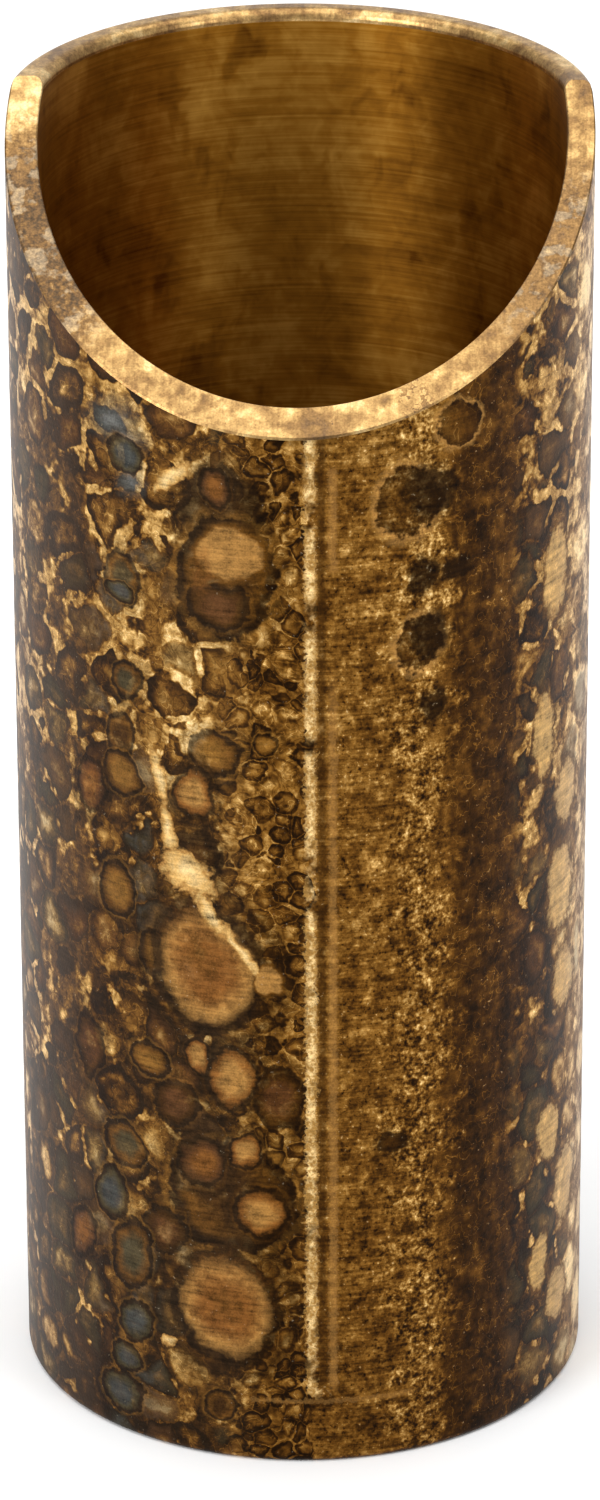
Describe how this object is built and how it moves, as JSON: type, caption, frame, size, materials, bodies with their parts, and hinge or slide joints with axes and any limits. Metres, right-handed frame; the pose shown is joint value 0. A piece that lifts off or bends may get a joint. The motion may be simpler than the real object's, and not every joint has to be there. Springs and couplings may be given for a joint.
{
  "type": "guitar slide",
  "caption": "Open brass finger tube, square at the base and cut away on a slant at the top front so that the finger inside can bend.",
  "frame": {"origin": "centre of the square base ring, on the tube's axis", "axes": "+Z along the tube from the square base to the rim; the slanted cut faces -Y; +X to the right seen from the cut side"},
  "size_m": [0.0254, 0.0254, 0.06],
  "materials": {
    "aged_brass": "brass darkened by a bubbled patina outside, brushed bright on the cut rim, turned and toned inside the bore"
  },
  "bodies": {
    "root": {"slide_tube": "aged_brass"}
  },
  "joints": []
}
